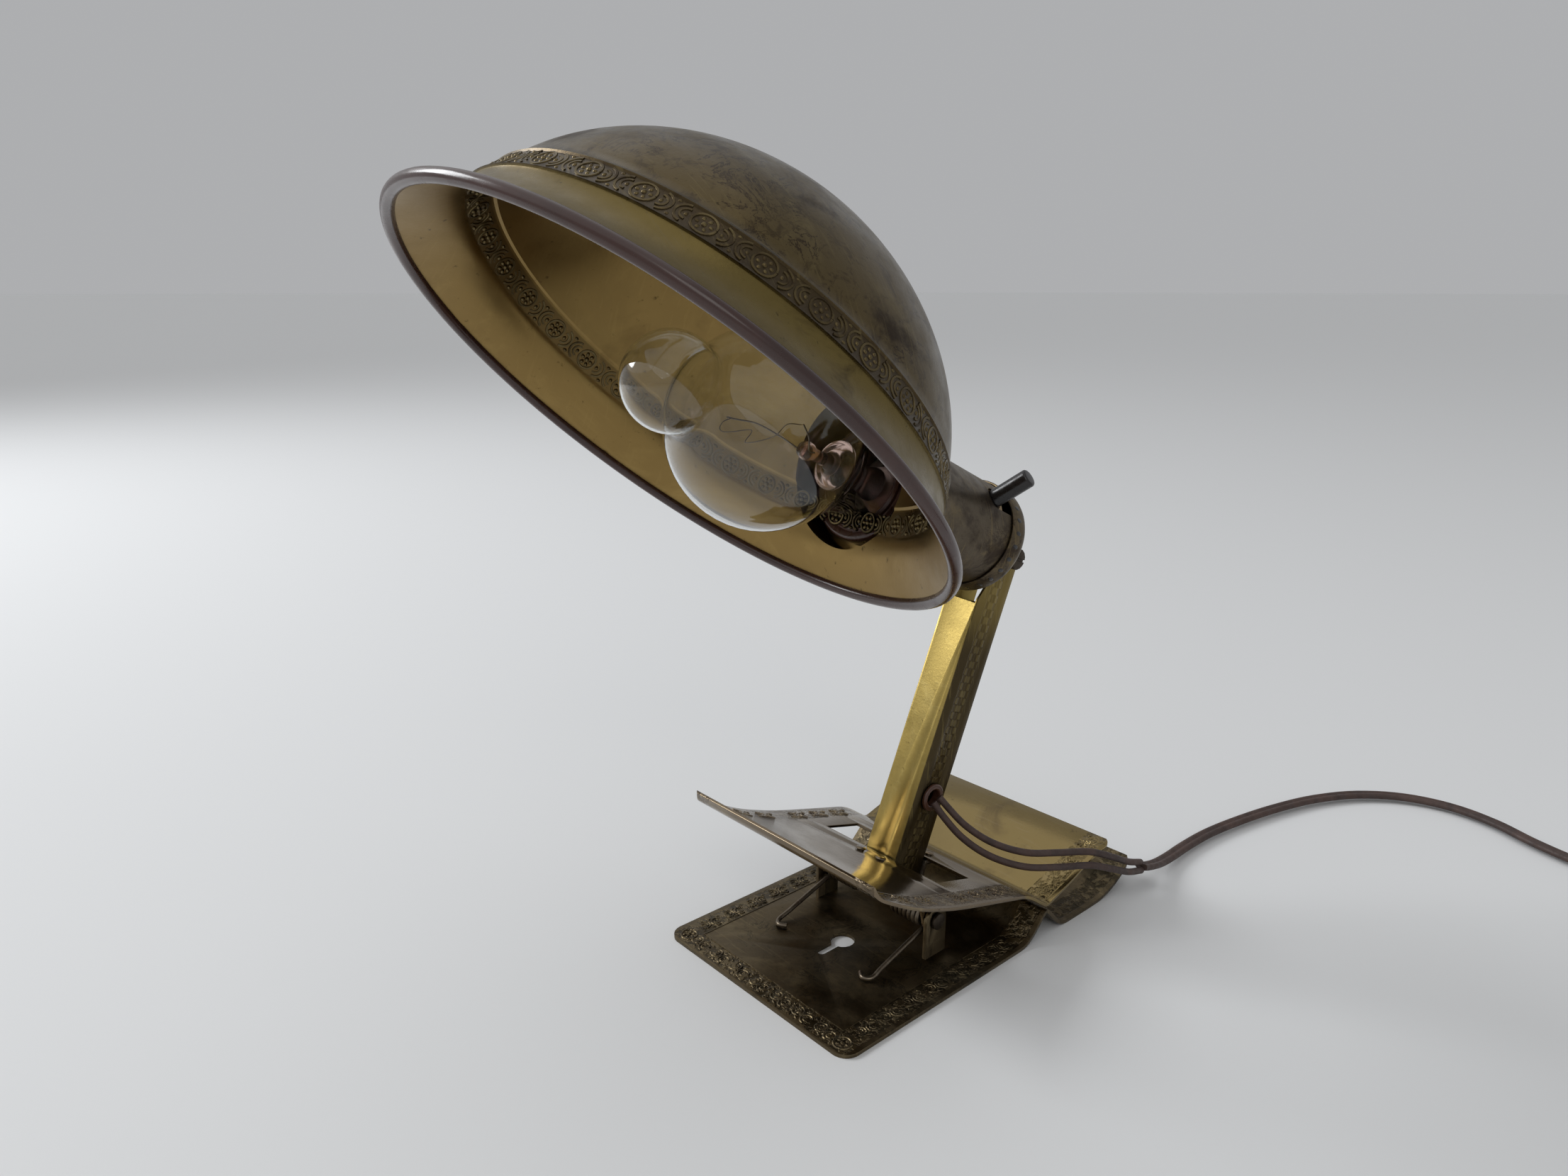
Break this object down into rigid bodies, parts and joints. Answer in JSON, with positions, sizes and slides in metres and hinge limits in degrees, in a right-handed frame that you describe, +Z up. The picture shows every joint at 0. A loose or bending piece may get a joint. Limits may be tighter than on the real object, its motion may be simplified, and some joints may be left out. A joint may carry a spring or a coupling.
{
  "type": "clip-on lamp",
  "caption": "Clip-on lamp: a sprung two-plate clamp, a square arm swinging in a slot, a tilting push-through socket with a helmet shade and its bulb, and a cord.",
  "frame": {"origin": "on the base plate's underside, straight below the clamp's hinge pin", "axes": "+X along the hinge pin, towards the cord's side; +Y towards the jaws; +Z up"},
  "size_m": [0.3618, 0.4371, 0.2771],
  "materials": {
    "brass": "satin, worn lacquer",
    "dark_brass": "dark bronze patina",
    "steel": "dull",
    "bakelite": "dark brown moulded",
    "black": "black moulded",
    "glass": "clear",
    "rubber": "dark brown, matt",
    "bead": "dark red-brown, glossy",
    "liner": "pressed fibre",
    "lamp_metal": "dull"
  },
  "bodies": {
    "base": {"base_plate": "dark_brass", "hinge_pin": "steel", "spring_coil_left": "steel", "spring_coil_right": "steel", "zip_cord": "rubber", "cord_coil": "rubber", "plug_body": "bakelite", "plug_blade_left": "brass", "plug_blade_right": "brass"},
    "jaw": {"jaw_plate": "brass", "spring_leg_left": "steel", "spring_leg_right": "steel", "pivot_cheek_front": "steel", "pivot_cheek_back": "steel", "cheek_rivet_1": "brass", "cheek_rivet_2": "brass", "cheek_rivet_3": "brass", "cheek_rivet_4": "brass", "arm_pivot_screw": "steel", "arm_pivot_nut": "steel", "cord_wire_upper": "rubber", "cord_wire_lower": "rubber"},
    "arm": {"arm_tube": "brass", "arm_grommet": "dark_brass", "pivot_bush": "steel", "head_screw": "steel", "head_nut": "steel"},
    "head": {"swivel_block": "brass", "swivel_washer_left": "steel", "swivel_washer_right": "steel", "cap_locknut": "steel", "socket_cap": "dark_brass", "socket_shell": "dark_brass", "liner_sleeve": "liner", "switch_block": "bakelite", "socket_core": "bakelite", "terminal_screw_left": "brass", "terminal_screw_right": "brass", "screw_shell": "brass", "centre_contact": "brass", "socket_collar": "bakelite", "shade_ring": "bakelite"},
    "rod": {"push_rod": "black"},
    "shade": {"shade_dome": "brass", "rim_bead": "bead"},
    "bulb": {"bulb_glass": "glass", "bulb_base": "lamp_metal", "bulb_insulator": "black", "bulb_contact": "steel", "bulb_stem": "glass", "support_wire_left": "steel", "support_wire_right": "steel", "filament": "steel"}
  },
  "joints": [
    {"name": "jaw_hinge", "type": "hinge", "parent": "base", "child": "jaw", "pos_m": [0, 0, 0.0155], "axis": [1, 0, 0], "range_deg": [0, 24], "stiffness_Nm_per_rad": 1.2, "springref_deg": -57.3, "deforming": ["cord_wire_upper", "cord_wire_lower"]},
    {"name": "arm_swing", "type": "hinge", "parent": "jaw", "child": "arm", "pos_m": [0, 0.00733, 0.02404], "axis": [0, 0.9397, -0.342], "range_deg": [-53, 47]},
    {"name": "head_tilt", "type": "hinge", "parent": "arm", "child": "head", "pos_m": [0.00657, 0.05339, 0.14065], "axis": [0.9986, -0.0179, -0.0492], "range_deg": [-70, 7]},
    {"name": "rod_push", "type": "slide", "parent": "head", "child": "rod", "axis": [-0.7659, -0.2759, -0.5808], "range_m": [0, 0.01]},
    {"name": "shade_turn", "type": "hinge", "parent": "head", "child": "shade", "pos_m": [0.00667, 0.05424, 0.14246], "axis": [0.0047, -0.9056, 0.4241], "range_deg": [-90, 90]},
    {"name": "bulb_turn", "type": "hinge", "parent": "head", "child": "bulb", "pos_m": [0.00667, 0.05424, 0.14246], "axis": [0.0047, -0.9056, 0.4241], "range_deg": [0, 1440]}
  ]
}
